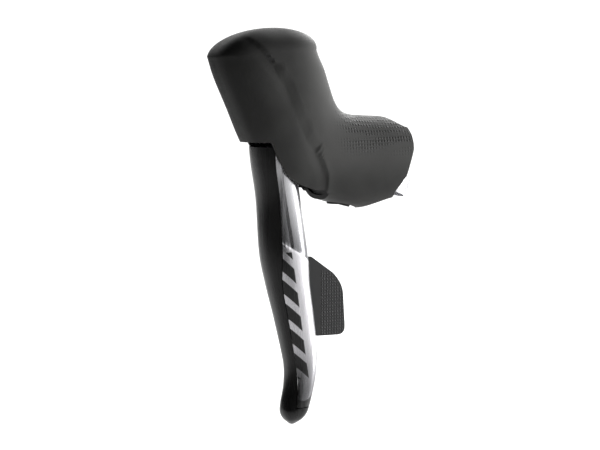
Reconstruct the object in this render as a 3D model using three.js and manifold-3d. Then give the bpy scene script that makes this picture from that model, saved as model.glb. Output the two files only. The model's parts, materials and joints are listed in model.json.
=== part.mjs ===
// Left-hand hydraulic brake lever with an electronic shift paddle, for a drop handlebar.
// Millimetres. +Z is up, -X is forwards (the way the bicycle travels), -Y is the outer side.
// The origin is on the handlebar's axis, in the middle of the seat that the lever sits on.
import * as THREE from "three";
import { mergeVertices } from "three/addons/utils/BufferGeometryUtils.js";
import Module from "manifold-3d";

const wasm = await Module();
wasm.setup();

// ---- Driving dimensions ----
const GAP = 0.3; // clearance left between touching pieces
const BAR_RADIUS = 12; // seat of a 24 mm drop bar
const BAR_X = -5; // the bar's axis in this file's own coordinates, which the last lines move to the origin
const BAR_TILT = (18 * Math.PI) / 180; // the bar leans back this much at the seat
const HOOD_WALL = 2.1; // rubber thickness
const CHEEK_INSET = HOOD_WALL + 0.5; // body surface below the rubber's outer surface
const PIVOT = { x: -66, z: 14 }; // lever pivot
const PIVOT_PIN_RADIUS = 2.5;
const CRANK = 14; // pivot to pushrod pin
const BORE_TILT = (10 * Math.PI) / 180; // master cylinder leans forwards
const BORE_RADIUS = 5;
const SLOT_HALF = 10.9; // half the width of the lever's slot in the body
const SLOT_TOP = 23;
const BLADE_WALL = 2;
const BLADE_TOP = 9.4; // top of the black front shell
const EAR_TOP = 18; // top of the silver side plate, round the pivot
const CELL = { x: -30, z: 4, radius: 10, thick: 3.2 }; // CR2032
const BUTTON = { x: -50, z: 33, radius: 3.4 };
const LED = { x: -43.5, z: 24.5, radius: 1.2 };
const PORT = { x: -31, z: -18.6, radius: 6.5 }; // hose port boss in the floor of the body

// ---- Finishes ----
const finish = (color, roughness, metalness) => new THREE.MeshStandardMaterial({ color, roughness, metalness });
const RUBBER = finish(0x3c3c3a, 0.75, 0);
const BLACK = finish(0x1b1b1b, 0.4, 0);
const COMPOSITE = finish(0x161616, 0.6, 0);
const SILVER = finish(0xc9c9cd, 0.25, 1);
const STEEL = finish(0x9a9a9c, 0.35, 1);
const BRASS = finish(0xb08d4a, 0.35, 1);
const SEAL = finish(0x202020, 0.7, 0);
const BOARD = finish(0x1d4d2e, 0.5, 0);
const LENS = finish(0xd8e4e0, 0.1, 0);

// ---- Solids: every geometry passes through manifold-3d where it is cut or joined ----
const solid = (geometry) => {
  const bare = new THREE.BufferGeometry();
  bare.setAttribute("position", geometry.getAttribute("position"));
  if (geometry.index) bare.setIndex(geometry.index);
  const merged = mergeVertices(bare, 1e-4);
  const corners = [...merged.index.array];
  const triangles = [];
  for (let i = 0; i < corners.length; i += 3) {
    const [a, b, c] = corners.slice(i, i + 3);
    if (a !== b && b !== c && c !== a) triangles.push([a, b, c]);
  }
  const close = (list) =>
    new wasm.Manifold(
      new wasm.Mesh({
        numProp: 3,
        vertProperties: new Float32Array(merged.attributes.position.array),
        triVerts: new Uint32Array(list.flat()),
      }),
    );
  const made = close(triangles);
  return made.volume() > 0 ? made : close(triangles.map(([a, b, c]) => [a, c, b]));
};
const geometryOf = (made) => {
  const mesh = made.getMesh();
  const geometry = new THREE.BufferGeometry();
  geometry.setAttribute("position", new THREE.BufferAttribute(new Float32Array(mesh.vertProperties), 3));
  geometry.setIndex(new THREE.BufferAttribute(new Uint32Array(mesh.triVerts), 1));
  return geometry;
};
const cut = (first, ...others) => others.reduce((made, other) => made.subtract(other), first);
const join = (first, ...others) => others.reduce((made, other) => made.add(other), first);

// A box from one corner to the other.
const block = ([x0, y0, z0], [x1, y1, z1]) => {
  const geometry = new THREE.BoxGeometry(x1 - x0, y1 - y0, z1 - z0);
  return solid(geometry.translate((x0 + x1) / 2, (y0 + y1) / 2, (z0 + z1) / 2));
};
// A round rod from one point to another.
const rod = (from, to, radius, sides = 20) => {
  const start = new THREE.Vector3(...from);
  const along = new THREE.Vector3(...to).sub(start);
  const geometry = new THREE.CylinderGeometry(radius, radius, along.length(), sides);
  const turn = new THREE.Quaternion().setFromUnitVectors(new THREE.Vector3(0, 1, 0), along.clone().normalize());
  geometry.applyQuaternion(turn).translate(...start.addScaledVector(along, 0.5).toArray());
  return solid(geometry);
};
const tube = (from, to, outer, inner, sides = 20) => {
  const start = new THREE.Vector3(...from);
  const step = new THREE.Vector3(...to).sub(start).normalize();
  const before = start.clone().sub(step).toArray();
  const after = new THREE.Vector3(...to).add(step).toArray();
  return cut(rod(from, to, outer, sides), rod(before, after, inner, sides));
};
// A side profile in X and Z, extruded from y0 to y1. Corners are [x, z], or [x, z, radius] where rounded.
const plate = (corners, y0, y1) => {
  const shape = new THREE.Shape();
  corners.forEach(([x, z, radius = 0], i) => {
    const here = new THREE.Vector2(x, z);
    const towards = (other) => {
      const way = new THREE.Vector2(other[0], other[1]).sub(here);
      return here.clone().addScaledVector(way.normalize(), radius);
    };
    const first = towards(corners.at(i - 1));
    const last = towards(corners[(i + 1) % corners.length]);
    if (i === 0) shape.moveTo(first.x, first.y);
    else shape.lineTo(first.x, first.y);
    if (radius) shape.quadraticCurveTo(x, z, last.x, last.y);
  });
  const geometry = new THREE.ExtrudeGeometry(shape, { depth: y1 - y0, bevelEnabled: false, curveSegments: 5 });
  return solid(geometry.rotateX(Math.PI / 2).translate(0, y1, 0));
};
// Rings of the same length, joined one to the next and closed at both ends by strips between their halves.
const loft = (rings) => {
  const count = rings[0].length;
  const index = [];
  for (let r = 0; r + 1 < rings.length; r++)
    for (let i = 0; i < count; i++) {
      const a = r * count + i;
      const b = r * count + ((i + 1) % count);
      index.push(a, b, a + count, b, b + count, a + count);
    }
  const strip = (base, flip) => {
    for (let i = 0; i + 1 < count / 2; i++) {
      const [a, b, c, d] = [i, i + 1, count - 1 - i, count - 2 - i].map((k) => base + k);
      index.push(...(flip ? [a, b, c, b, d, c] : [a, c, b, b, c, d]));
    }
  };
  strip(0, false);
  strip((rings.length - 1) * count, true);
  const geometry = new THREE.BufferGeometry().setFromPoints(rings.flat());
  geometry.setIndex(index);
  return solid(geometry);
};
const power = (value, exponent) => Math.sign(value) * Math.abs(value) ** exponent;

// ---- Hood: sections fan from the rear rim, round the bend and up the horn ----
// top is the point on the upper or rear side, low the one below or in front, as [x, z].
const HOOD_SECTIONS = [
  { top: [4, 20.5], low: [-9, -19.4], half: 17.2, square: 2.6 },
  { top: [-8, 22.3], low: [-17, -21], half: 16.8, square: 2.6 },
  { top: [-20, 23], low: [-29, -20.2], half: 16, square: 2.7 },
  { top: [-29, 23.8], low: [-42, -16.5], half: 15.6, square: 2.8 },
  { top: [-35, 26.4], low: [-56, -14], half: 15.4, square: 2.9 },
  { top: [-38.5, 31], low: [-70, -8], half: 15.4, square: 3 },
  { top: [-41.2, 38], low: [-81.2, 10], half: 15.6, square: 3 },
  { top: [-44, 45.5], low: [-89, 27], half: 16, square: 3 },
  { top: [-46.4, 50], low: [-95.4, 41], half: 16.2, square: 3 },
  { top: [-47.8, 53.5], low: [-98.4, 50], half: 16, square: 3 },
];
const DOME = { rise: 11.5, lean: 3, square: 2 }; // the rounded top of the horn

// The hood's rear rim bulges rearwards in the middle: this side profile is trimmed away behind it.
const REAR_TRIM = [
  [-6.2, 30], [-3.7, 22], [-1.6, 19], [-0.4, 14], [-0.2, 9.4], [-1, 2], [-3.2, -4], [-6.2, -8], [-9, -12],
  [-11, -22], [40, -22], [40, 30],
];

const hoodRing = (section, inset, around) => {
  const top = new THREE.Vector3(section.top[0], 0, section.top[1]);
  const low = new THREE.Vector3(section.low[0], 0, section.low[1]);
  const centre = top.clone().add(low).divideScalar(2);
  const reach = top.sub(centre);
  const shrink = (section.shrink ?? 1) * (1 - inset / reach.length());
  const half = (section.half - inset) * (section.shrink ?? 1);
  return Array.from({ length: around }, (_, i) => {
    const angle = ((i + 0.5) / around) * 2 * Math.PI;
    const along = power(Math.cos(angle), 2 / section.square) * shrink;
    const point = centre.clone().addScaledVector(reach, along);
    point.y = power(Math.sin(angle), 2 / section.square) * half;
    return point.add(section.shift ?? new THREE.Vector3());
  });
};
const hoodLoft = (inset, around, steps, extend = 0) => {
  const curve = (pick) => new THREE.CatmullRomCurve3(HOOD_SECTIONS.map(pick));
  const tops = curve((s) => new THREE.Vector3(s.top[0], 0, s.top[1]));
  const lows = curve((s) => new THREE.Vector3(s.low[0], 0, s.low[1]));
  const sizes = curve((s) => new THREE.Vector3(s.half, s.square, 0));
  const at = (t) => {
    const [top, low, size] = [tops, lows, sizes].map((c) => c.getPoint(t));
    return { top: [top.x, top.z], low: [low.x, low.z], half: size.x, square: size.y };
  };
  const rings = [];
  const rear = at(0);
  if (extend) rings.push(hoodRing({ ...rear, shift: new THREE.Vector3(extend, 0, 0) }, inset, around));
  for (let i = 0; i <= steps; i++) rings.push(hoodRing(at(i / steps), inset, around));
  const last = at(1);
  const chord = new THREE.Vector3(last.top[0] - last.low[0], 0, last.top[1] - last.low[1]).normalize();
  const up = new THREE.Vector3(-chord.z, 0, chord.x);
  const levels = [0.35, 0.6, 0.8, 0.93, 0.99];
  levels.forEach((level) => {
    const shrink = (1 - level ** DOME.square) ** (1 / DOME.square);
    const shift = up.clone().multiplyScalar((DOME.rise - inset) * level);
    shift.addScaledVector(chord, DOME.lean * level);
    rings.push(hoodRing({ ...last, shrink, shift }, inset, around));
  });
  return loft(rings);
};

const barAxis = new THREE.Vector3(Math.sin(BAR_TILT), 0, Math.cos(BAR_TILT));
const barCentre = new THREE.Vector3(BAR_X, 0, 0);
const onBar = (distance) => barAxis.clone().multiplyScalar(distance).add(barCentre).toArray();
const barRod = (radius, sides = 32) => rod(onBar(-40), onBar(40), radius, sides);
// Places a piece made about the clamp: its Z along the bar, its X rearwards, square to the bar.
const CLAMP_LEVEL = -9.2;
const inClamp = (made) => {
  const [x, , z] = onBar(CLAMP_LEVEL);
  const [c, s] = [Math.cos(BAR_TILT), Math.sin(BAR_TILT)];
  return made.transform([c, 0, -s, 0, 0, 1, 0, 0, s, 0, c, 0, x, 0, z, 1]);
};

// The opening under the horn that the lever comes out of, as a side profile.
const LEVER_OPENING = [
  [-110, 11.2],
  [-74.5, 11.2],
  [-70.7, 3.6],
  [-66.5, -3.6],
  [-61.3, -7.4],
  [-56, -9.6],
  [-45, -13.4],
  [-40.5, -30],
  [-110, -30],
];

const portRod = (from, to, radius, sides) => rod([PORT.x, 0, from], [PORT.x, 0, to], radius, sides);
const sideRod = ({ x, z }, y0, y1, radius, sides) => rod([x, y0, z], [x, y1, z], radius, sides);

const hoodCover = () => {
  const shell = cut(hoodLoft(0, 24, 14), hoodLoft(HOOD_WALL, 20, 10, 12));
  const buttonHole = sideRod(BUTTON, 5, 25, BUTTON.radius + 0.7);
  const ledHole = sideRod(LED, 5, 25, LED.radius + 0.6, 12);
  const portHole = portRod(-30, -8, PORT.radius + 0.6, 24);
  const leverWay = plate([[-110, 11.2], [-46, 11.2], [-42, -30], [-110, -30]], -SLOT_HALF, SLOT_HALF);
  const bandWay = inClamp(rod([0, 0, -4.4], [0, 0, 4.4], BAR_RADIUS + 1.9, 40));
  const opening = join(plate(LEVER_OPENING, -30, 30), plate(REAR_TRIM, -30, 30));
  return cut(shell, barRod(BAR_RADIUS + 0.4), bandWay, opening, leverWay, buttonHole, ledHole, portHole);
};

// ---- Master cylinder line: the bore passes over the crank pin ----
const crankPin = { x: PIVOT.x + CRANK, z: PIVOT.z };
const boreAxis = new THREE.Vector3(-Math.sin(BORE_TILT), 0, Math.cos(BORE_TILT));
const boreStart = new THREE.Vector3(crankPin.x, 0, crankPin.z);
const onBore = (distance) => boreAxis.clone().multiplyScalar(distance).add(boreStart).toArray();
const BORE_MOUTH = 8; // distances along the bore, from the crank pin
const BORE_END = 37;

// ---- Body: the casting under the hood ----
const COVER = { x0: -80, x1: -62, z0: 34, z1: 56, y: 9.7, thick: 1.3 }; // reservoir cover
const HATCH = { x0: -41.6, x1: -18.4, z0: -7.5, z1: 15.5, y: 9.2, thick: 1.3 }; // battery hatch
const BOARD_BAY = { x0: -40, x1: -19, z0: -7, z1: 11, y: -7.2 }; // circuit board pocket, on the outer side
const coverScrews = [
  { x: COVER.x0 + 2.6, z: COVER.z0 + 2.6 },
  { x: COVER.x1 - 2.6, z: COVER.z1 - 2.6 },
];
const hatchScrews = [
  { x: HATCH.x0 + 2.7, z: HATCH.z1 - 2.7 },
  { x: HATCH.x1 - 2.7, z: HATCH.z0 + 2.7 },
];
const recess = (r, margin) =>
  block([r.x0 - margin, r.y - GAP, r.z0 - margin], [r.x1 + margin, r.y + 10, r.z1 + margin]);

const leverBody = () => {
  const core = join(hoodLoft(CHEEK_INSET, 20, 10), portRod(PORT.z, -10, PORT.radius, 24));
  const slot = plate([[-110, SLOT_TOP], [-45, SLOT_TOP], [-41.5, -30], [-110, -30]], -SLOT_HALF, SLOT_HALF);
  const reservoir = block([COVER.x0 + 5, -7.5, COVER.z0 + 5], [COVER.x1 - 5, 12, COVER.z1 - 5]);
  const bay = block([BOARD_BAY.x0, -20, BOARD_BAY.z0], [BOARD_BAY.x1, BOARD_BAY.y, BOARD_BAY.z1]);
  const fluidWay = rod(onBore(BORE_END - 4), [COVER.x1 - 8, 0, 49], 1.2, 10);
  const bleedHole = rod([-70, 0, 45], [-70, 0, 75], 2.6, 16);
  const screwHoles = [...coverScrews, ...hatchScrews].map((at) => sideRod(at, 3, 12, 1.3, 12));
  return cut(
    core,
    barRod(BAR_RADIUS + 0.4),
    plate(REAR_TRIM.map(([x, z]) => [x - 1, z]), -30, 30),
    inClamp(block([-22.6, -4.6, -4.7], [0, 4.6, 4.7])),
    inClamp(rod([0, 0, -4.9], [0, 0, 4.9], BAR_RADIUS + 2, 32)),
    inClamp(rod([-60, 0, 0], [-12, 0, 0], 2.5, 16)),
    inClamp(rod([-60, 0, 0], [-31.6, 0, 0], 4.1, 16)),
    plate(LEVER_OPENING, -30, 30),
    slot,
    rod(onBore(2), onBore(BORE_END), BORE_RADIUS, 20),
    reservoir,
    recess(COVER, GAP),
    fluidWay,
    bleedHole,
    sideRod(CELL, 4.4, 20, CELL.radius + 0.6, 28),
    recess(HATCH, GAP),
    bay,
    ...screwHoles,
    sideRod(BUTTON, 9, 20, BUTTON.radius + 0.4),
    sideRod(LED, 9.5, 20, LED.radius + 0.3, 12),
    portRod(-30, -6.8, 4.2),
    sideRod(PIVOT, -20, 20, PIVOT_PIN_RADIUS + GAP),
  );
};

// The band round the bar has a threaded tongue in front, and the bolt pulls it forwards.
const clampBand = () => {
  const ring = rod([0, 0, -4], [0, 0, 4], BAR_RADIUS + 1.3, 40);
  const tongue = block([-21.4, -4, -4], [-10, 4, 4]);
  const bore = rod([0, 0, -9], [0, 0, 9], BAR_RADIUS + 0.1, 40);
  return inClamp(cut(join(ring, tongue), bore, rod([-30, 0, 0], [-11, 0, 0], 2.3, 16)));
};
const clampBolt = () => {
  const shank = rod([-32.2, 0, 0], [-14, 0, 0], 2, 16);
  const head = cut(rod([-35.8, 0, 0], [-31.9, 0, 0], 3.6), rod([-37, 0, 0], [-33.8, 0, 0], 1.6, 6));
  return inClamp(join(shank, head));
};

// A screw along Y: its seat is under the head, its tip at the other end; the head has a hexagon socket.
const screw = (at, seat, tip, radius, head, thick) => {
  const out = Math.sign(seat - tip);
  const shank = sideRod(at, tip, seat + 0.1 * out, radius, 12);
  const cap = sideRod(at, seat, seat + thick * out, head, 16);
  const socket = sideRod(at, seat + 0.4 * thick * out, seat + (thick + 1) * out, radius * 0.8, 6);
  return join(shank, cut(cap, socket));
};

const reservoirCover = () =>
  cut(
    block([COVER.x0, COVER.y, COVER.z0], [COVER.x1, COVER.y + COVER.thick, COVER.z1]),
    ...coverScrews.map((at) => sideRod(at, 5, 15, 1.3, 12)),
    ...coverScrews.map((at) => sideRod(at, COVER.y + 0.5, 15, 2.2, 16)),
  );
const reservoirBladder = () => {
  const margin = 5 + GAP;
  const bag = block(
    [COVER.x0 + margin, -6.8, COVER.z0 + margin],
    [COVER.x1 - margin, COVER.y - 0.7, COVER.z1 - margin],
  );
  const inside = block(
    [COVER.x0 + margin + 0.8, -6, COVER.z0 + margin + 0.8],
    [COVER.x1 - margin - 0.8, 12, COVER.z1 - margin - 0.8],
  );
  return cut(bag, inside);
};
const batteryHatch = () =>
  cut(
    block([HATCH.x0, HATCH.y, HATCH.z0], [HATCH.x1, HATCH.y + HATCH.thick, HATCH.z1]),
    ...hatchScrews.map((at) => sideRod(at, 5, 15, 1.3, 12)),
    ...hatchScrews.map((at) => sideRod(at, HATCH.y + 0.5, 15, 2.2, 16)),
  );
const coinCell = () =>
  join(sideRod(CELL, 5.5, 7, CELL.radius - 0.8, 28), sideRod(CELL, 6.2, 5.5 + CELL.thick, CELL.radius, 28));
const cellContact = () => {
  const blade = [
    [CELL.x - 7, CELL.z - 2], [CELL.x + 7, CELL.z - 2],
    [CELL.x + 7, CELL.z + 2], [CELL.x - 7, CELL.z + 2],
  ];
  return plate(blade, 4.7, 5.2);
};
const circuitBoard = () =>
  block([BOARD_BAY.x0 + 0.8, -8.8, BOARD_BAY.z0 + 0.8], [BOARD_BAY.x1 - 0.8, -7.8, BOARD_BAY.z1 - 0.8]);
const radioModule = () => block([-36, -10.6, -4], [-23, -9.1, 8]);
const electronicsCover = () =>
  block([BOARD_BAY.x0 + GAP, -12.1, BOARD_BAY.z0 + GAP], [BOARD_BAY.x1 - GAP, -10.9, BOARD_BAY.z1 - GAP]);
const functionButton = () => {
  const profile = [[0, 10.6], [3.4, 10.6], [3.4, 15], [3.1, 15.8], [2.2, 16.4], [0, 16.7]];
  const geometry = new THREE.LatheGeometry(profile.map(([r, y]) => new THREE.Vector2(r, y)), 24);
  return solid(geometry.translate(BUTTON.x, 0, BUTTON.z));
};
const buttonDome = () => sideRod(BUTTON, 9.2, 9.6, 2.2, 16);
const statusLens = () => sideRod(LED, 9.8, 14.9, LED.radius, 12);

const lineRing = (axisPoint, from, to, outer, inner, sides = 20) => (
  tube(axisPoint(from), axisPoint(to), outer, inner, sides)
);
const onPort = (height) => [PORT.x, 0, height];
const compressionNut = () => cut(lineRing(onPort, -18.2, -12, 3.9, 2.2), portRod(-19, -15.5, 2.9, 6));
const compressionOlive = () => lineRing(onPort, -11.6, -9, 3.6, 2.2);
const hoseBarb = () => join(lineRing(onPort, -14.5, -7.4, 1.7, 0.9, 14), lineRing(onPort, -8.6, -7.2, 3, 0.9, 14));
const bleedScrew = () => cut(rod([-70, 0, 52], [-70, 0, 60.5], 2.3, 16), rod([-70, 0, 58], [-70, 0, 66], 1.3, 6));
const bleedSeal = () => tube([-70, 0, 51], [-70, 0, 51.7], 2.3, 1.1, 16);

// ---- Piston, its seals, spring and pushrod, along the bore ----
const alongBore = (made) => {
  const [x, , z] = onBore(0);
  const [c, s] = [Math.cos(BORE_TILT), Math.sin(BORE_TILT)];
  return made.transform([c, 0, s, 0, 0, 1, 0, 0, -s, 0, c, 0, x, 0, z, 1]);
};
// A turned piece about the bore, from [radius, height] corners.
const turned = (corners, sides = 20) => {
  const geometry = new THREE.LatheGeometry(corners.map(([r, h]) => new THREE.Vector2(r, h)), sides);
  return alongBore(solid(geometry.rotateX(Math.PI / 2)));
};
const PISTON = { base: 10, length: 12, radius: 4.7, groove: 3.5 };
const masterPiston = () => {
  const { base, length, radius, groove } = PISTON;
  return turned([
    [0, base + 2.4], [2.7, base + 1], [2.7, base], [radius, base], [radius, base + 2.2], [groove, base + 2.2],
    [groove, base + 4], [radius, base + 4], [radius, base + 8.6], [groove, base + 8.6], [groove, base + 10.4],
    [radius, base + 10.4], [radius, base + length - 0.5], [radius - 0.5, base + length], [0, base + length],
  ]);
};
const pistonSeal = (from) => turned([
  [PISTON.groove + GAP, from], [4.75, from], [4.75, from + 1.2], [PISTON.groove + GAP, from + 1.2], [PISTON.groove + GAP, from],
]);
const coil = (radius, wire, from, to, turns, steps, place) => {
  class Helix extends THREE.Curve {
    getPoint(t, target = new THREE.Vector3()) {
      const angle = t * turns * 2 * Math.PI;
      return target.set(radius * Math.cos(angle), radius * Math.sin(angle), from + (to - from) * t);
    }
  }
  const section = new THREE.Shape().absarc(0, 0, wire / 2, 0, 2 * Math.PI);
  const options = { steps, extrudePath: new Helix(), curveSegments: 3, bevelEnabled: false };
  return place(solid(new THREE.ExtrudeGeometry(section, options)));
};
const pistonSpring = () => coil(3.6, 0.9, PISTON.base + PISTON.length + 0.9, BORE_END - 0.9, 5.5, 50, alongBore);
const pushrod = () => {
  const shank = turned([[0, 3.4], [1.7, 3.4], [1.7, 8], [2.2, 9.2], [2.2, 10.4], [1.2, 11.4], [0, 11.6]], 16);
  const eye = tube([crankPin.x, -1.8, crankPin.z], [crankPin.x, 1.8, crankPin.z], 3.8, 1.8, 20);
  return join(eye, shank);
};
const pushrodPin = () => rod([crankPin.x, -6.2, crankPin.z], [crankPin.x, 6.2, crankPin.z], 1.5, 16);

// ---- Lever: an aluminium arm on the pivot, the black front shell and the silver side plate ----
// Level sections: x and y of the middle, half its depth, half its width, and the angle where silver meets black.
const BLADE_SECTIONS = [
  { z: 20, x: -68.6, y: 0, deep: 10, wide: 10.3, seam: 74 },
  { z: 9, x: -68, y: 0, deep: 10, wide: 10.3, seam: 72 },
  { z: 0, x: -67.2, y: 0, deep: 9.8, wide: 10.3, seam: 71 },
  { z: -16, x: -64.8, y: 0, deep: 9.7, wide: 10.3, seam: 70 },
  { z: -40, x: -62.6, y: -1, deep: 11, wide: 10.3, seam: 64 },
  { z: -55, x: -60.8, y: -1.7, deep: 10, wide: 9.8, seam: 50 },
  { z: -71, x: -57.9, y: -2.5, deep: 9.1, wide: 8.8, seam: 47 },
  { z: -87, x: -55.5, y: -3.3, deep: 8.1, wide: 7.8, seam: 46 },
  { z: -95, x: -55.2, y: -3.8, deep: 7.4, wide: 7.3, seam: 50 },
  { z: -103, x: -56.3, y: -4.3, deep: 6.9, wide: 7, seam: 60 },
  { z: -111, x: -58.5, y: -4.8, deep: 6.5, wide: 7, seam: 68 },
  { z: -115, x: -59.5, y: -5, deep: 5.9, wide: 6.6, seam: 68 },
  { z: -118, x: -60.1, y: -5.1, deep: 4.2, wide: 4.8, seam: 68 },
  { z: -120.4, x: -60.6, y: -5.2, deep: 1.2, wide: 1.4, seam: 68 },
];
const BLADE_SQUARE = 2.5;
const OUTER_EDGE = 150; // angles from the front, in degrees: positive is the outer side
const INNER_EDGE = -132;
const SILVER_END = -112;
const TIP_START = -104;

const bladeCurves = () => {
  const curve = (pick) => new THREE.CatmullRomCurve3(BLADE_SECTIONS.map(pick));
  return [
    curve((s) => new THREE.Vector3(s.x, s.y, s.z)),
    curve((s) => new THREE.Vector3(s.deep, s.wide, s.seam)),
  ];
};
const bladePoint = (middle, size, degrees, inset) => {
  const angle = (degrees * Math.PI) / 180;
  const deep = Math.max(size.x - inset, 0.3);
  const wide = Math.max(size.y - inset, 0.3);
  const x = middle.x - deep * power(Math.cos(angle), 2 / BLADE_SQUARE);
  const y = middle.y - wide * power(Math.sin(angle), 2 / BLADE_SQUARE);
  return new THREE.Vector3(x, y, middle.z);
};
// Sections between two heights, with each section's ring from a function of its middle and size.
const bladeLoft = (high, low, ring, steps = 24) => {
  const [middles, sizes] = bladeCurves();
  const rings = [];
  for (let i = 0; i <= steps; i++) {
    const middle = middles.getPoint(i / steps);
    if (middle.z <= high && middle.z >= low) rings.push(ring(middle, sizes.getPoint(i / steps)));
  }
  return loft(rings);
};
const band = (first, last, count) => (middle, size) => {
  const [start, end] = [first(size), last(size)];
  const angles = Array.from({ length: count }, (_, i) => start + ((end - start) * i) / (count - 1));
  const outside = angles.map((a) => bladePoint(middle, size, a, 0));
  const inside = angles.map((a) => bladePoint(middle, size, a, BLADE_WALL));
  return [...outside, ...inside.reverse()];
};
const seamGap = 1.2; // degrees on each side of the seam
// The room that a shell needs: its own section with a margin all round.
const room = (first, last) => (middle, size) => {
  const [start, end] = [first(size), last(size)];
  const angles = Array.from({ length: 12 }, (_, i) => start + ((end - start) * i) / 11);
  const outside = angles.map((a) => bladePoint(middle, size, a, -1));
  const inside = angles.map((a) => bladePoint(middle, size, a, BLADE_WALL + GAP));
  return [...outside, ...inside.reverse()];
};
const largest = (made) => made.decompose().sort((a, b) => b.volume() - a.volume())[0];
const pivotHole = () => rod([PIVOT.x, -20, PIVOT.z], [PIVOT.x, 20, PIVOT.z], PIVOT_PIN_RADIUS + GAP);

const frontShell = () => {
  const channel = bladeLoft(BLADE_TOP, -110, band(() => INNER_EDGE, (s) => s.z - seamGap, 12));
  const full = (middle, size) => Array.from({ length: 18 }, (_, i) => bladePoint(middle, size, 10 + i * 20, 0));
  const tip = bladeLoft(TIP_START, -130, full, 44);
  const silverBed = bladeLoft(0, SILVER_END - 0.6, room((s) => s.z - seamGap, () => OUTER_EDGE + 12), 44);
  return largest(join(channel, cut(tip, silverBed)));
};
const sidePlate = () => {
  const strip = bladeLoft(EAR_TOP, SILVER_END, band((s) => s.z + seamGap, () => OUTER_EDGE, 8));
  return largest(cut(strip, pivotHole(), block([-90, -8.2, 4], [-40, 0, 40])));
};

const leverArm = () => {
  const limb = plate(
    [[-71, 8], [-73.2, 2], [-70, -16], [-68.8, -33], [-62, -33], [-60, -16], [-58.5, 0], [-58, 8]],
    -6.4, 6.4,
  );
  const hub = rod([PIVOT.x, -7, PIVOT.z], [PIVOT.x, 7, PIVOT.z], 6.3, 24);
  const crank = plate([[PIVOT.x, PIVOT.z - 5], [crankPin.x, PIVOT.z - 3.4, 2], [crankPin.x + 4, PIVOT.z, 2],
    [crankPin.x, PIVOT.z + 3.4, 2], [PIVOT.x, PIVOT.z + 5]], -5.2, 5.2);
  return largest(
    cut(
      join(limb, hub, crank),
      bladeLoft(EAR_TOP, -40, room(() => INNER_EDGE - 6, () => OUTER_EDGE + 8)),
      rod([PIVOT.x, -20, PIVOT.z], [PIVOT.x, 20, PIVOT.z], PIVOT_PIN_RADIUS + 1.4),
      block([crankPin.x - 5.2, -2.3, PIVOT.z - 8], [crankPin.x + 8, 2.3, PIVOT.z + 10]),
      rod([crankPin.x, -20, crankPin.z], [crankPin.x, 20, crankPin.z], 1.8, 16),
      rod([-80, 0, REACH.z], [-40, 0, REACH.z], REACH.radius + GAP, 16),
    ),
  );
};
const REACH = { z: -4, radius: 1.7 };
const reachScrew = () =>
  cut(rod([-70.5, 0, REACH.z], [-55, 0, REACH.z], REACH.radius, 16), rod([-71, 0, REACH.z], [-68.5, 0, REACH.z], 1, 6));
const pivotPin = () => rod([PIVOT.x, -12.2, PIVOT.z], [PIVOT.x, 12.2, PIVOT.z], PIVOT_PIN_RADIUS, 20);
const pivotBush = (side) => {
  const [near, far] = [0.4, 7].map((y) => y * side);
  return tube([PIVOT.x, near, PIVOT.z], [PIVOT.x, far, PIVOT.z], PIVOT_PIN_RADIUS + 1.1, PIVOT_PIN_RADIUS + 0.25);
};
const pivotSpacer = () => tube([PIVOT.x, -7.9, PIVOT.z], [PIVOT.x, -7.3, PIVOT.z], 4.6, PIVOT_PIN_RADIUS + GAP);
const returnSpring = () => {
  const round = (made) => made.transform([1, 0, 0, 0, 0, 0, 1, 0, 0, -1, 0, 0, PIVOT.x, 0, PIVOT.z, 1]);
  return coil(4, 0.7, -10.1, -8, 2, 28, round);
};

// ---- Shift paddle on its own upright pin behind the blade ----
const HINGE = { high: [-58.4, -1, -42], low: [-53.4, -1, -77] };
const onHinge = (z) => {
  const t = (z - HINGE.high[2]) / (HINGE.low[2] - HINGE.high[2]);
  return [HINGE.high[0] + t * (HINGE.low[0] - HINGE.high[0]), HINGE.high[1], z];
};
const paddleCarrier = () => {
  const spine = [
    [-68.2, -34], [-66.2, -55], [-62.8, -71], [-60.6, -81],
    [-58.6, -81], [-60, -71], [-63, -55], [-65, -34],
  ];
  const lug = (z0, z1) => {
    const [first, last] = [onHinge(z0)[0], onHinge(z1)[0]];
    return plate([[first - 7.4, z0], [first + 2.4, z0, 1], [last + 2.4, z1, 1], [last - 7.4, z1]], -3.6, 1.6);
  };
  return cut(
    join(plate(spine, -5.4, 1.6), lug(-37.5, -41.5), lug(-76.6, -80.6)),
    rod(onHinge(-30), onHinge(-90), 1.5, 14),
  );
};
const paddlePin = () => rod(onHinge(-38), onHinge(-80), 1.2, 14);
const shiftPaddle = () => {
  const leaf = plate(
    [
      [-56.2, -43.6], [-48, -42.8, 1], [-34.5, -52.2, 3.4], [-30.4, -58.5, 3.4],
      [-29, -81.2, 4.5], [-46, -80.8, 2], [-51.6, -74.4],
    ],
    -1.6, 1.5,
  );
  const barrel = rod(onHinge(-42.2), onHinge(-75.9), 2.5, 18);
  return cut(join(leaf, barrel), rod(onHinge(-30), onHinge(-90), 1.5, 14));
};
const shiftSwitch = () => block([-62.2, -5, -56.4], [-60, -1.2, -52.4]);

// ---- Assembly ----
const assembly = new THREE.Group();
const add = (name, made, material) => {
  const mesh = new THREE.Mesh(geometryOf(made), material);
  mesh.name = name;
  assembly.add(mesh);
};

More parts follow.
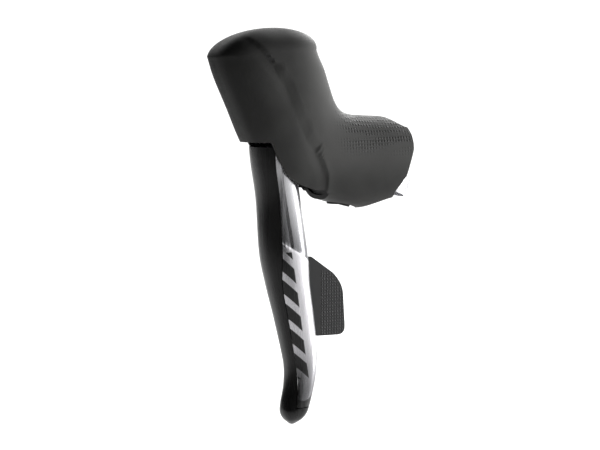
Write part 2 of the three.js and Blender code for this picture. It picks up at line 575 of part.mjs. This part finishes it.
add("hood_cover", hoodCover(), RUBBER);
add("lever_body", leverBody(), COMPOSITE);
add("clamp_band", clampBand(), SILVER);
add("clamp_bolt", clampBolt(), STEEL);
add("reservoir_cover", reservoirCover(), COMPOSITE);
add("reservoir_bladder", reservoirBladder(), SEAL);
coverScrews.forEach((at, i) => add(`cover_screw_${i + 1}`, screw(at, COVER.y + 0.6, 4.4, 1, 1.8, 0.9), STEEL));
add("bleed_screw", bleedScrew(), STEEL);
add("bleed_seal", bleedSeal(), SEAL);
add("battery_hatch", batteryHatch(), COMPOSITE);
add("coin_cell", coinCell(), STEEL);
add("cell_contact", cellContact(), BRASS);
hatchScrews.forEach((at, i) => add(`hatch_screw_${i + 1}`, screw(at, HATCH.y + 0.6, 6, 1, 1.8, 0.9), STEEL));
add("circuit_board", circuitBoard(), BOARD);
add("radio_module", radioModule(), STEEL);
add("electronics_cover", electronicsCover(), COMPOSITE);
add("function_button", functionButton(), BLACK);
add("button_dome", buttonDome(), STEEL);
add("status_lens", statusLens(), LENS);
add("compression_nut", compressionNut(), STEEL);
add("compression_olive", compressionOlive(), BRASS);
add("hose_barb", hoseBarb(), STEEL);
add("pivot_pin", pivotPin(), STEEL);
add("master_piston", masterPiston(), STEEL);
add("primary_seal", pistonSeal(PISTON.base + 8.9), SEAL);
add("secondary_seal", pistonSeal(PISTON.base + 2.5), SEAL);
add("piston_spring", pistonSpring(), STEEL);
add("pushrod", pushrod(), STEEL);
add("pushrod_pin", pushrodPin(), STEEL);
add("lever_arm", leverArm(), SILVER);
add("blade_front_shell", frontShell(), BLACK);
add("blade_side_plate", sidePlate(), SILVER);
add("reach_screw", reachScrew(), STEEL);
add("pivot_bush_inner", pivotBush(1), BRASS);
add("pivot_bush_outer", pivotBush(-1), BRASS);
add("pivot_spacer", pivotSpacer(), STEEL);
add("return_spring", returnSpring(), STEEL);
add("paddle_carrier", paddleCarrier(), COMPOSITE);
add("paddle_pin", paddlePin(), STEEL);
add("shift_paddle", shiftPaddle(), BLACK);
add("shift_switch", shiftSwitch(), BLACK);

assembly.position.x = -BAR_X;
const lever = new THREE.Group();
lever.add(assembly);
export default lever;
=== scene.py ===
import json
import math

import bmesh
import bpy
from mathutils import Matrix, Vector


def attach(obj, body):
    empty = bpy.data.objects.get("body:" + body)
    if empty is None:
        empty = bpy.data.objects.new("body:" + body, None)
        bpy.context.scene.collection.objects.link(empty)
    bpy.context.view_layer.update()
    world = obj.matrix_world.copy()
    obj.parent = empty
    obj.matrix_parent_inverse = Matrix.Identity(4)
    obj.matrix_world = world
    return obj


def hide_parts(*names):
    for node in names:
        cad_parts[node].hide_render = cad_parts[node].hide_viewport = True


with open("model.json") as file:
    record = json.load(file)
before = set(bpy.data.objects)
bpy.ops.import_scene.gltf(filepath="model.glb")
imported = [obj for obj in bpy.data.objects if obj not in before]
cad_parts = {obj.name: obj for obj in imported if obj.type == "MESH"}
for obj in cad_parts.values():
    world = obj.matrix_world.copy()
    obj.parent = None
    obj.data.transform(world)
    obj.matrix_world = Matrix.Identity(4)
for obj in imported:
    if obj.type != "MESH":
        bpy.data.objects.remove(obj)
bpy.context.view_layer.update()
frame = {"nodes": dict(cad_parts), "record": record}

MM = 0.001
BAR_SETBACK = 5.0  # the section tables below stand this far in front of the handlebar's axis, in mm
BAR_TILT = math.radians(18)
BAR_HOLE = 12.4
CLAMP_LEVEL, CLAMP_HALF, CLAMP_HOLE = -9.2, 4.4, 13.9  # where the band is along the bar, and its room
BUTTON_HOLE, LAMP_HOLE, PORT_HOLE = 4.1, 1.8, 7.1
HOOD_WALL = 2.1
SLOT_HALF = 10.9
BLADE_WALL = 2.0
BLADE_SQUARE = 2.5

# ---- Tables, in millimetres ----
# The hood's sections: top point, low point, half width, squareness
HOOD_SECTIONS = [
    ((4, 20.5), (-9, -19.4), 17.2, 2.6),
    ((-8, 22.3), (-17, -21), 16.8, 2.6),
    ((-20, 23), (-29, -20.2), 16, 2.7),
    ((-29, 23.8), (-42, -16.5), 15.6, 2.8),
    ((-35, 26.4), (-56, -14), 15.4, 2.9),
    ((-38.5, 31), (-70, -8), 15.4, 3),
    ((-41.2, 38), (-81.2, 10), 15.6, 3),
    ((-44, 45.5), (-89, 27), 16, 3),
    ((-46.4, 50), (-95.4, 41), 16.2, 3),
    ((-47.8, 53.5), (-98.4, 50), 16, 3),
]
DOME_RISE, DOME_LEAN, DOME_SQUARE = 11.5, 3, 2.0
# Side profiles cut out of the hood, as X and Z: the mouth and the slot for the lever, and the rim at the bar
LEVER_OPENING = [
    (-110, 11.2), (-74.5, 11.2), (-70.7, 3.6), (-66.5, -3.6), (-61.3, -7.4),
    (-56, -9.6), (-45, -13.4), (-40.5, -30), (-110, -30),
]
LEVER_SLOT = [(-110, 11.2), (-46, 11.2), (-42, -30), (-110, -30)]
REAR_TRIM = [
    (-6.2, 30), (-3.7, 22), (-1.6, 19), (-0.4, 14), (-0.2, 9.4), (-1, 2),
    (-3.2, -4), (-6.2, -8), (-9, -12), (-11, -22), (40, -22), (40, 30),
]
# The moulded ridge on each flank, as X and Z, from the crown of the horn to the lower edge
RIDGE = [
    (-90, 62), (-85.4, 58), (-79, 51.7), (-72.6, 44.8), (-67.8, 37), (-63, 29.6),
    (-58.2, 21.3), (-51.3, 6.6), (-46.5, -3.6), (-45, -14),
]
RIDGE_DEPTH = 1.3
# The blade's level sections: height, middle in X and Y, half depth, half width, angle of the seam
BLADE_SECTIONS = [
    (20, -68.6, 0, 10, 10.3, 74),
    (9, -68, 0, 10, 10.3, 72),
    (0, -67.2, 0, 9.8, 10.3, 71),
    (-16, -64.8, 0, 9.7, 10.3, 70),
    (-40, -62.6, -1, 11, 10.3, 64),
    (-55, -60.8, -1.7, 10, 9.8, 50),
    (-71, -57.9, -2.5, 9.1, 8.8, 47),
    (-87, -55.5, -3.3, 8.1, 7.8, 46),
    (-95, -55.2, -3.8, 7.4, 7.3, 50),
    (-103, -56.3, -4.3, 6.9, 7, 60),
    (-111, -58.5, -4.8, 6.5, 7, 68),
    (-115, -59.5, -5, 5.9, 6.6, 68),
    (-118, -60.1, -5.1, 4.2, 4.8, 68),
    (-120.4, -60.6, -5.2, 1.2, 1.4, 68),
]
INNER_EDGE, OUTER_EDGE, SEAM_GAP = -132, 150, 1.2  # angles round the blade from its front, in degrees
REDRAWN = ("hood_cover", "blade_front_shell", "blade_side_plate")


def power(value, exponent):
    return math.copysign(abs(value) ** exponent, value)


def smoothstep(low, high, value):
    t = min(max((value - low) / (high - low), 0.0), 1.0)
    return t * t * (3 - 2 * t)


def spline(rows, t):
    """A Catmull-Rom curve through rows of numbers, with t from 0 to 1."""
    last = len(rows) - 1
    place = min(max(t, 0.0), 1.0) * last
    i = min(int(place), last - 1)
    w = place - i
    p1, p2 = rows[i], rows[i + 1]
    p0 = rows[i - 1] if i > 0 else [2 * a - b for a, b in zip(p1, p2)]
    p3 = rows[i + 2] if i + 2 <= last else [2 * b - a for a, b in zip(p1, p2)]
    out = []
    for a, b, c, d in zip(p0, p1, p2, p3):
        square = 2 * a - 5 * b + 4 * c - d
        cube = 3 * b - a - 3 * c + d
        out.append(0.5 * (2 * b + (c - a) * w + square * w * w + cube * w**3))
    return out


# ---- Mesh helpers ----
def new_object(name, mesh):
    obj = bpy.data.objects.new(name, mesh)
    bpy.context.scene.collection.objects.link(obj)
    return obj


def new_skin(name, verts, faces):
    """An object from vertices in metres and faces, with every face turned outwards."""
    mesh = bpy.data.meshes.new(name)
    mesh.from_pydata(verts, [], faces)
    bm = bmesh.new()
    bm.from_mesh(mesh)
    bmesh.ops.recalc_face_normals(bm, faces=bm.faces)
    bm.to_mesh(mesh)
    bm.free()
    return new_object(name, mesh)


def loft(name, rings):
    """A closed skin through rings of the same length; strips between their halves close both ends."""
    count = len(rings[0])
    verts = [(x * MM + BAR_SETBACK * MM, y * MM, z * MM) for ring in rings for x, y, z in ring]
    faces = []
    for r in range(len(rings) - 1):
        for i in range(count):
            j = (i + 1) % count
            faces.append((r * count + i, r * count + j, (r + 1) * count + j, (r + 1) * count + i))
    for base in (0, (len(rings) - 1) * count):
        for i in range(count // 2 - 1):
            faces.append((base + i, base + i + 1, base + count - 2 - i, base + count - 1 - i))
    return new_skin(name, verts, faces)


def prism(name, corners, half):
    """A side profile in X and Z, from -half to half across."""
    count = len(corners)
    verts = [((x + BAR_SETBACK) * MM, y * MM, z * MM) for y in (-half, half) for x, z in corners]
    faces = [tuple(range(count)), tuple(range(2 * count - 1, count - 1, -1))]
    faces += [(i, (i + 1) % count, (i + 1) % count + count, i + count) for i in range(count)]
    return new_skin(name, verts, faces)


def rod(name, start, end, radius, sides=96):
    """A round rod between two points, in millimetres about the handlebar's axis."""
    start, end = Vector(start) * MM, Vector(end) * MM
    along = end - start
    turn = along.to_track_quat("Z", "Y").to_matrix().to_4x4()
    bm = bmesh.new()
    bmesh.ops.create_cone(
        bm,
        cap_ends=True,
        segments=sides,
        radius1=radius * MM,
        radius2=radius * MM,
        depth=along.length,
        matrix=Matrix.Translation((start + end) / 2) @ turn,
    )
    mesh = bpy.data.meshes.new(name)
    bm.to_mesh(mesh)
    bm.free()
    return new_object(name, mesh)


def combine(obj, other, operation):
    """Cuts obj by other, or joins them, and leaves only obj."""
    modifier = obj.modifiers.new(operation, "BOOLEAN")
    modifier.operation = operation
    modifier.object = other
    modifier.solver = "EXACT"
    bake(obj)
    bpy.data.objects.remove(other, do_unlink=True)


def bake(obj):
    """Replaces the mesh by what its modifiers make of it."""
    graph = bpy.context.evaluated_depsgraph_get()
    mesh = bpy.data.meshes.new_from_object(obj.evaluated_get(graph))
    obj.modifiers.clear()
    obj.data = mesh


def shade(obj, degrees=32):
    """Smooth shading, with edges sharper than the angle left crisp."""
    bm = bmesh.new()
    bm.from_mesh(obj.data)
    for face in bm.faces:
        face.smooth = True
    for edge in bm.edges:
        edge.smooth = len(edge.link_faces) == 2 and edge.calc_face_angle(0) < math.radians(degrees)
    bm.to_mesh(obj.data)
    bm.free()


def soften(obj, width, segments=2, angle=38):
    """A small rounded edge wherever two faces meet at more than the angle."""
    bevel = obj.modifiers.new("edge", "BEVEL")
    bevel.width = width * MM
    bevel.segments = segments
    bevel.limit_method = "ANGLE"
    bevel.angle_limit = math.radians(angle)
    bevel.harden_normals = False


# ---- Material helpers ----
def start_material(name, color, roughness, metallic=0.0):
    material = bpy.data.materials.new(name)
    material.use_nodes = True
    shader = material.node_tree.nodes["Principled BSDF"]
    shader.inputs["Base Color"].default_value = (*color, 1)
    shader.inputs["Roughness"].default_value = roughness
    shader.inputs["Metallic"].default_value = metallic
    return material, shader


class Nodes:
    """Short names for the nodes that the materials share."""

    def __init__(self, owner, place="Object"):
        self.tree = owner.node_tree
        self.position = self.tree.nodes.new("ShaderNodeTexCoord").outputs[place]

    def link(self, value, socket):
        if hasattr(value, "is_output"):
            self.tree.links.new(value, socket)
        else:
            socket.default_value = value

    def math(self, operation, a, b=0.0, clamp=False):
        node = self.tree.nodes.new("ShaderNodeMath")
        node.operation = operation
        node.use_clamp = clamp
        self.link(a, node.inputs[0])
        self.link(b, node.inputs[1])
        return node.outputs[0]

    def ramp(self, value, low, high, first=0.0, last=1.0):
        node = self.tree.nodes.new("ShaderNodeMapRange")
        node.interpolation_type = "SMOOTHSTEP"
        self.link(value, node.inputs["Value"])
        for name, number in zip(("From Min", "From Max", "To Min", "To Max"), (low, high, first, last)):
            node.inputs[name].default_value = number
        return node.outputs["Result"]

    def axes(self, source=None):
        node = self.tree.nodes.new("ShaderNodeSeparateXYZ")
        self.link(source or self.position, node.inputs[0])
        return node.outputs

    def noise(self, scale, detail=4.0, stretch=(1, 1, 1)):
        node = self.tree.nodes.new("ShaderNodeTexNoise")
        mapping = self.tree.nodes.new("ShaderNodeMapping")
        mapping.inputs["Scale"].default_value = stretch
        self.link(self.position, mapping.inputs["Vector"])
        self.link(mapping.outputs[0], node.inputs["Vector"])
        node.inputs["Scale"].default_value = scale
        node.inputs["Detail"].default_value = detail
        return node.outputs["Fac"]

    def dots(self, scale):
        node = self.tree.nodes.new("ShaderNodeTexVoronoi")
        node.inputs["Scale"].default_value = scale
        node.inputs["Randomness"].default_value = 0.12
        self.link(self.position, node.inputs["Vector"])
        return node.outputs["Distance"]

    def mix(self, factor, first, second):
        node = self.tree.nodes.new("ShaderNodeMix")
        node.data_type = "RGBA"
        self.link(factor, node.inputs[0])
        self.link(first, node.inputs[6])
        self.link(second, node.inputs[7])
        return node.outputs[2]

    def bump(self, height, strength, distance, after=None):
        node = self.tree.nodes.new("ShaderNodeBump")
        node.inputs["Strength"].default_value = strength
        node.inputs["Distance"].default_value = distance
        self.link(height, node.inputs["Height"])
        if after is not None:
            self.link(after, node.inputs["Normal"])
        return node.outputs[0]


def hood_rubber():
    material, shader = start_material("hood_rubber", (0.12, 0.12, 0.116), 0.6)
    shader.inputs["Specular IOR Level"].default_value = 0.16
    n = Nodes(material)
    x, _, z = n.axes()
    fine = n.noise(2600, 3)
    broad = n.noise(45, 2)
    grip = n.math("MULTIPLY", n.ramp(x, -0.040, -0.022), n.ramp(z, 0.002, 0.013))
    dots = n.ramp(n.dots(640), 0.18, 0.5, 1.0, 0.0)
    pattern = n.math("MULTIPLY", dots, grip)
    # Painted shade: the front of the hood, which faces away from the light, is given a much darker colour.
    front = n.ramp(x, -0.098, -0.060)
    flank = n.mix(n.ramp(broad, 0.35, 0.65), (0.050, 0.050, 0.049, 1), (0.062, 0.062, 0.060, 1))
    # Painted light: the top of the rear hood is given a lighter colour where the light falls on it.
    painted_top_light = n.mix(n.ramp(z, -0.012, 0.008), flank, (0.120, 0.120, 0.117, 1))
    shade = n.mix(n.ramp(x, -0.062, -0.040), flank, painted_top_light)
    color = n.mix(front, (0.020, 0.020, 0.0195, 1), shade)
    dotted = n.mix(n.math("MULTIPLY", pattern, 0.5), color, (0.035, 0.035, 0.034, 1))
    n.link(dotted, shader.inputs["Base Color"])
    n.link(n.ramp(fine, 0.3, 0.7, 0.54, 0.7), shader.inputs["Roughness"])
    skin = n.bump(fine, 0.22, 0.00012)
    n.link(n.bump(pattern, 0.9, 0.00035, skin), shader.inputs["Normal"])
    return material


def gloss_black():
    material, shader = start_material("gloss_black", (0.012, 0.012, 0.012), 0.24)
    shader.inputs["Specular IOR Level"].default_value = 0.3
    shader.inputs["Coat Weight"].default_value = 0.12
    shader.inputs["Coat Roughness"].default_value = 0.12
    n = Nodes(material)
    flow = n.noise(260, 3, (1, 1, 0.06))
    n.link(n.ramp(flow, 0.3, 0.7, 0.2, 0.32), shader.inputs["Roughness"])
    n.link(n.mix(flow, (0.008, 0.008, 0.008, 1), (0.017, 0.017, 0.017, 1)), shader.inputs["Base Color"])
    n.link(n.bump(n.noise(1800, 2), 0.05, 0.00005), shader.inputs["Normal"])
    return material


def blade_silver():
    """Polished silver, with slanted dark bars along the seam, painted shade on the upper facet above the
    slanted step, and a darker fade towards the tip.
    """
    material, shader = start_material("blade_silver", (0.82, 0.82, 0.84), 0.2, 1.0)
    n = Nodes(material)
    x, y, z = n.axes()
    slope = n.math("ADD", z, n.math("MULTIPLY", x, 0.9))
    wave = n.math("FRACT", n.math("MULTIPLY", slope, 104.0))
    bars = n.math("MULTIPLY", n.ramp(wave, 0.08, 0.11), n.ramp(wave, 0.70, 0.73, 1.0, 0.0))
    reach = n.math("ADD", x, n.math("MULTIPLY", n.math("ADD", z, 0.071), 0.155))
    near_seam = n.ramp(reach, -0.0541, -0.0537, 1.0, 0.0)
    along = n.math("MULTIPLY", n.ramp(z, -0.099, -0.0985), n.ramp(z, -0.0395, -0.0390, 1.0, 0.0))
    mask = n.math("MULTIPLY", n.math("MULTIPLY", bars, near_seam), along)
    # The silver's colour darkens towards the tip.
    tip_fade = n.ramp(z, -0.108, -0.074, 0.9, 0.0)
    step = n.math("ADD", n.math("ADD", z, n.math("MULTIPLY", x, 0.6)), 0.0727)
    # Painted shade: above the slanted step the silver is given a darker colour, darkest at its lower end.
    facet = n.mix(n.ramp(z, -0.042, -0.006), (0.20, 0.20, 0.21, 1), (0.66, 0.66, 0.68, 1))
    silver = n.mix(n.ramp(step, -0.0003, 0.0003), (0.78, 0.77, 0.80, 1), facet)
    faded = n.mix(tip_fade, silver, (0.10, 0.10, 0.105, 1))
    middle = n.math("POWER", n.math("ABSOLUTE", n.math("ADD", x, 0.0525)), 2.0)
    cap = n.ramp(n.math("SUBTRACT", z, n.math("MULTIPLY", middle, 110.0)), -0.1092, -0.1086, 1.0, 0.0)
    dark = n.math("MAXIMUM", mask, cap)
    n.link(n.mix(dark, faded, (0.02, 0.02, 0.02, 1)), shader.inputs["Base Color"])
    n.link(n.ramp(dark, 0.0, 1.0, 0.9, 0.1), shader.inputs["Metallic"])
    grain = n.noise(900, 3, (1, 1, 0.03))
    n.link(n.ramp(grain, 0.3, 0.7, 0.2, 0.32), shader.inputs["Roughness"])
    n.link(n.bump(grain, 0.05, 0.00004), shader.inputs["Normal"])
    return material


def paddle_black():
    material, shader = start_material("paddle_black", (0.024, 0.024, 0.025), 0.48)
    n = Nodes(material)
    x, _, z = n.axes()
    patch = n.math("MULTIPLY", n.ramp(x, -0.0385, -0.0365), n.ramp(z, -0.0490, -0.0510))
    dots = n.ramp(n.dots(700), 0.2, 0.45, 1.0, 0.0)
    pattern = n.math("MULTIPLY", dots, patch)
    color = n.mix(n.math("MULTIPLY", pattern, 0.45), (0.018, 0.018, 0.019, 1), (0.006, 0.006, 0.006, 1))
    n.link(color, shader.inputs["Base Color"])
    fine = n.noise(2200, 3)
    n.link(n.ramp(fine, 0.3, 0.7, 0.42, 0.55), shader.inputs["Roughness"])
    n.link(n.bump(pattern, 0.8, 0.0003, n.bump(fine, 0.15, 0.00008)), shader.inputs["Normal"])
    return material


def composite():
    material, shader = start_material("composite", (0.018, 0.018, 0.018), 0.55)
    n = Nodes(material)
    flecks = n.noise(1500, 5, (1, 0.3, 1))
    color = n.mix(n.ramp(flecks, 0.55, 0.7), (0.015, 0.015, 0.015, 1), (0.03, 0.03, 0.03, 1))
    n.link(color, shader.inputs["Base Color"])
    n.link(n.ramp(flecks, 0.3, 0.7, 0.48, 0.62), shader.inputs["Roughness"])
    n.link(n.bump(flecks, 0.2, 0.0001), shader.inputs["Normal"])
    return material


def metal(name, color, roughness, stretch=(1, 1, 0.05)):
    """Turned or drawn metal, with fine tool lines and slight tarnish."""
    material, shader = start_material(name, color, roughness, 1.0)
    n = Nodes(material)
    lines = n.noise(1400, 3, stretch)
    tarnish = n.noise(160, 3)
    dull = tuple(0.72 * c for c in color)
    n.link(n.mix(n.ramp(tarnish, 0.45, 0.7), (*color, 1), (*dull, 1)), shader.inputs["Base Color"])
    n.link(n.ramp(lines, 0.3, 0.7, roughness - 0.07, roughness + 0.1), shader.inputs["Roughness"])
    n.link(n.bump(lines, 0.12, 0.00005), shader.inputs["Normal"])
    return material


def moulded(name, color, roughness):
    """A small moulded part: slightly uneven colour, with a fine sheen texture."""
    material, shader = start_material(name, color, roughness)
    n = Nodes(material)
    cloud = n.noise(700, 4)
    bright = tuple(min(1.0, 1.3 * c) for c in color)
    n.link(n.mix(cloud, (*color, 1), (*bright, 1)), shader.inputs["Base Color"])
    n.link(n.ramp(cloud, 0.3, 0.7, roughness - 0.06, roughness + 0.08), shader.inputs["Roughness"])
    n.link(n.bump(cloud, 0.15, 0.00006), shader.inputs["Normal"])
    return material


# ---- Hood ----
def hood_section(t):
    rows = [(*top, *low, half, square) for top, low, half, square in HOOD_SECTIONS]
    tx, tz, lx, lz, half, square = spline(rows, t)
    return Vector((tx, 0, tz)), Vector((lx, 0, lz)), half, square


def hood_ring(t, inset, around, shrink=1.0, shift=Vector((0, 0, 0))):
    top, low, half, square = hood_section(t)
    centre = (top + low) / 2
    reach = top - centre
    along = shrink * (1 - inset / reach.length)
    ring = []
    for i in range(around):
        angle = (i + 0.5) / around * 2 * math.pi
        point = centre + reach * power(math.cos(angle), 2 / square) * along + shift
        point.y = power(math.sin(angle), 2 / square) * (half - inset) * shrink
        ring.append(point)
    return ring


def hood_rings(inset, around, steps, extend=0.0):
    rings = []
    if extend:
        rings.append(hood_ring(0, inset, around, 1.0, Vector((extend, 0, 0))))
    rings += [hood_ring(i / steps, inset, around) for i in range(steps + 1)]
    top, low, _, _ = hood_section(1)
    chord = (top - low).normalized()
    up = Vector((-chord.z, 0, chord.x))
    for i in range(1, 25):
        level = math.sin(math.pi / 2 * i / 24.4)
        shrink = (1 - level**DOME_SQUARE) ** (1 / DOME_SQUARE)
        shift = up * (DOME_RISE - inset) * level + chord * DOME_LEAN * level
        rings.append(hood_ring(1, inset, around, shrink, shift))
    return rings


def ridge_offset(point):
    """How far the flank is sunk here: sharply just ahead of the ridge, less and less further forwards."""
    best, side, share = 1e9, 0.0, 0.0
    for i in range(len(RIDGE) - 1):
        (ax, az), (bx, bz) = RIDGE[i], RIDGE[i + 1]
        dx, dz = bx - ax, bz - az
        w = min(max(((point.x - ax) * dx + (point.z - az) * dz) / (dx * dx + dz * dz), 0), 1)
        away = math.hypot(point.x - ax - w * dx, point.z - az - w * dz)
        if away < best:
            best = away
            side = dx * (point.z - az) - dz * (point.x - ax)
            share = (i + w) / (len(RIDGE) - 1)
    distance = best if side > 0 else -best
    strength = smoothstep(0.0, 0.2, share) * (1 - 0.6 * math.exp(-((share - 0.62) ** 2) / 0.006))
    ahead = max(-distance, 0)
    step = smoothstep(0.35, -0.55, distance) * math.exp(-ahead / 12)
    swell = math.exp(-((distance - 2.5) ** 2) / 10)
    taper = 0.075 * max(ahead - 6, 0) * smoothstep(0.0, 0.1, share)
    return strength * (RIDGE_DEPTH * step - 0.16 * swell) + min(taper, 1.6)


def sculpt_hood(rings):
    for ring in rings:
        for point in ring:
            flank = smoothstep(6, 12, abs(point.y))
            shift = ridge_offset(point) * flank
            point.y -= math.copysign(shift, point.y)
    return rings


def on_bar(level):
    """A point on the bar's axis, this far up it, in millimetres."""
    return (level * math.sin(BAR_TILT), 0, level * math.cos(BAR_TILT))


def make_hood(material):
    hood = loft("hood_skin", sculpt_hood(hood_rings(0, 208, 210)))
    combine(hood, loft("inside", hood_rings(HOOD_WALL, 96, 60, 12)), "DIFFERENCE")
    band_low = on_bar(CLAMP_LEVEL - CLAMP_HALF)
    band_high = on_bar(CLAMP_LEVEL + CLAMP_HALF)
    cutters = [
        rod("bar", on_bar(-40), on_bar(40), BAR_HOLE),
        rod("band", band_low, band_high, CLAMP_HOLE),
        prism("opening", LEVER_OPENING, 30),
        prism("rim", REAR_TRIM, 30),
        prism("slot", LEVER_SLOT, SLOT_HALF),
        rod("button", (-45, 5, 33), (-45, 25, 33), BUTTON_HOLE, 48),
        rod("lamp", (-38.5, 5, 24.5), (-38.5, 25, 24.5), LAMP_HOLE, 32),
        rod("port", (-26, 0, -30), (-26, 0, -8), PORT_HOLE, 64),
    ]
    for cutter in cutters:
        combine(hood, cutter, "DIFFERENCE")
    shade(hood, 38)
    hood.data.materials.append(material)
    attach(hood, "bracket")
    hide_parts("hood_cover")


# ---- Blade ----
def blade_point(section, degrees, inset):
    z, x, y, deep, wide, _ = section
    angle = math.radians(degrees)
    across = max(wide - inset, 0.3)
    depth = max(deep - inset, 0.3)
    return Vector((
        x - depth * power(math.cos(angle), 2 / BLADE_SQUARE),
        y - across * power(math.sin(angle), 2 / BLADE_SQUARE),
        z,
    ))


def blade_rings(high, low, ring, steps):
    """Rings at the levels between high and low; ring makes one of them from a section."""
    rings = []
    for i in range(steps + 1):
        section = spline(BLADE_SECTIONS, i / steps)
        if low <= section[0] <= high:
            rings.append(ring(section))
    return rings


def band(section, first, last, count, outset=0.0, wall=BLADE_WALL):
    """A ring for part of the way round the blade: along the outside, and back along the inside."""
    angles = [first + (last - first) * i / (count - 1) for i in range(count)]
    outside = [blade_point(section, a, -outset) for a in angles]
    inside = [blade_point(section, a, wall) for a in angles]
    return outside + inside[::-1]


def front_ring(section):
    return band(section, INNER_EDGE, section[5] - SEAM_GAP, 56)


def side_ring(section):
    return band(section, section[5] + SEAM_GAP, OUTER_EDGE, 64)


def bed_ring(section):
    """A little larger than the side plate, to sink its bed in the tip."""
    return band(section, section[5] - SEAM_GAP, OUTER_EDGE + 12, 20, 1.0, BLADE_WALL + 0.3)


def full_ring(section):
    return [blade_point(section, 360 * (i + 0.5) / 72, 0) for i in range(72)]


def make_front_shell(material):
    shell = loft("blade_front", blade_rings(9.4, -110, front_ring, 220))
    tip = loft("tip", blade_rings(-104, -130, full_ring, 420))
    bed = loft("bed", blade_rings(0, -112.6, bed_ring, 120))
    combine(tip, bed, "DIFFERENCE")
    combine(shell, tip, "UNION")
    shade(shell, 40)
    shell.data.materials.append(material)
    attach(shell, "lever")
    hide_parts("blade_front_shell")


def sculpt_plate(rings):
    """The recessed upper facet, its crease and the slanted step below it."""
    for ring in rings:
        for point in ring:
            if point.y > -6:
                continue
            crease = -67.3 + (point.z + 10) * -0.155
            step = -34.5 - (point.x + 68.7) * 0.60
            above = smoothstep(step - 0.5, step + 0.5, point.z)
            front = 1 - smoothstep(crease - 0.5, crease + 0.5, point.x)
            point.y += (0.28 + 0.42 * front) * above * smoothstep(8, -6, point.z)
    return rings


def make_side_plate(material):
    plate = loft("blade_plate", sculpt_plate(blade_rings(17.6, -112, side_ring, 300)))
    combine(plate, rod("pin", (-61, -20, 14), (-61, 20, 14), 2.8, 48), "DIFFERENCE")
    combine(plate, prism("trim", [(-90, 4), (-40, 4), (-40, 40), (-90, 40)], 8.2), "DIFFERENCE")
    shade(plate, 40)
    plate.data.materials.append(material)
    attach(plate, "lever")
    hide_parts("blade_side_plate")


# ---- The CAD's own pieces ----
def dress(materials):
    """Every CAD node that stays gets its slot's material and a softened edge."""
    slots = {row["node"]: row["material_slot"] for row in frame["record"]["subparts"]}
    for name, obj in frame["nodes"].items():
        if name in REDRAWN:
            continue
        material = materials.get(name) or materials[slots[name]]
        obj.data.materials.clear()
        obj.data.materials.append(material)
        soften(obj, 0.35 if name == "shift_paddle" else 0.12)


# ---- Camera, floor and light ----
def make_camera():
    azimuth, elevation = math.radians(-30), math.radians(5)
    back = Vector((
        math.sin(azimuth) * math.cos(elevation),
        -math.cos(azimuth) * math.cos(elevation),
        math.sin(elevation),
    ))
    data = bpy.data.cameras.new("camera")
    data.lens = 100
    data.sensor_width = 36
    camera = bpy.data.objects.new("camera", data)
    camera.location = Vector((-0.048, 0, -0.028)) + back * 0.780
    camera.rotation_euler = back.to_track_quat("Z", "Y").to_euler()
    bpy.context.scene.collection.objects.link(camera)
    bpy.context.scene.camera = camera


def make_floor():
    bm = bmesh.new()
    bmesh.ops.create_circle(bm, cap_ends=True, segments=96, radius=2.5)
    mesh = bpy.data.meshes.new("floor")
    bm.to_mesh(mesh)
    bm.free()
    floor = new_object("floor", mesh)
    floor.location = (0.4, 0.8, -0.30)
    material, _ = start_material("floor", (0.93, 0.93, 0.93), 0.9)
    mesh.materials.append(material)


def make_light(name, place, size, power_w, target=(-0.05, 0, 0)):
    data = bpy.data.lights.new(name, "AREA")
    data.shape = "RECTANGLE"
    data.size, data.size_y = size
    data.energy = power_w
    light = bpy.data.objects.new(name, data)
    light.location = place
    light.rotation_euler = (Vector(place) - Vector(target)).to_track_quat("Z", "Y").to_euler()
    bpy.context.scene.collection.objects.link(light)


def make_world():
    """A studio that is bright behind and to the right of the object, and dim ahead of it."""
    world = bpy.data.worlds.new("world")
    world.use_nodes = True
    n = Nodes(world, "Generated")
    x, y, z = n.axes()
    side = n.ramp(n.math("ADD", x, n.math("MULTIPLY", y, 0.3)), -0.1, 0.5, 0.0, 1.0)
    level = n.ramp(n.math("ABSOLUTE", z), 0.35, 0.8, 1.0, 0.12)
    bright = n.math("ADD", n.math("MULTIPLY", side, level), 0.015)
    background = world.node_tree.nodes["Background"]
    n.link(n.mix(bright, (0, 0, 0, 1), (1, 1, 1, 1)), background.inputs["Color"])
    background.inputs["Strength"].default_value = 1.25
    bpy.context.scene.world = world


bpy.context.scene.view_settings.view_transform = "Standard"
make_camera()
make_floor()
make_world()
make_light("key", (1.25, -0.42, 0.10), (0.5, 0.9), 11)
make_light("rim", (0.9, 0.5, 0.75), (0.6, 0.5), 16)
make_light("wash", (1.0, 2.1, 0.8), (3.2, 2.4), 60, (1.0, 2.1, 0))

make_hood(hood_rubber())
make_front_shell(gloss_black())
make_side_plate(blade_silver())
dress({
    "shift_paddle": paddle_black(),
    "hood_rubber": moulded("rubber", (0.05, 0.05, 0.048), 0.65),
    "composite": composite(),
    "gloss_black": moulded("black_plastic", (0.014, 0.014, 0.014), 0.35),
    "silver": metal("alloy", (0.74, 0.74, 0.76), 0.28),
    "steel": metal("steel", (0.5, 0.5, 0.51), 0.34),
    "brass": metal("brass", (0.62, 0.46, 0.2), 0.34),
    "seal": moulded("seal", (0.02, 0.02, 0.02), 0.6),
    "board": moulded("board", (0.02, 0.1, 0.04), 0.5),
    "lens": moulded("lens", (0.7, 0.78, 0.76), 0.12),
})
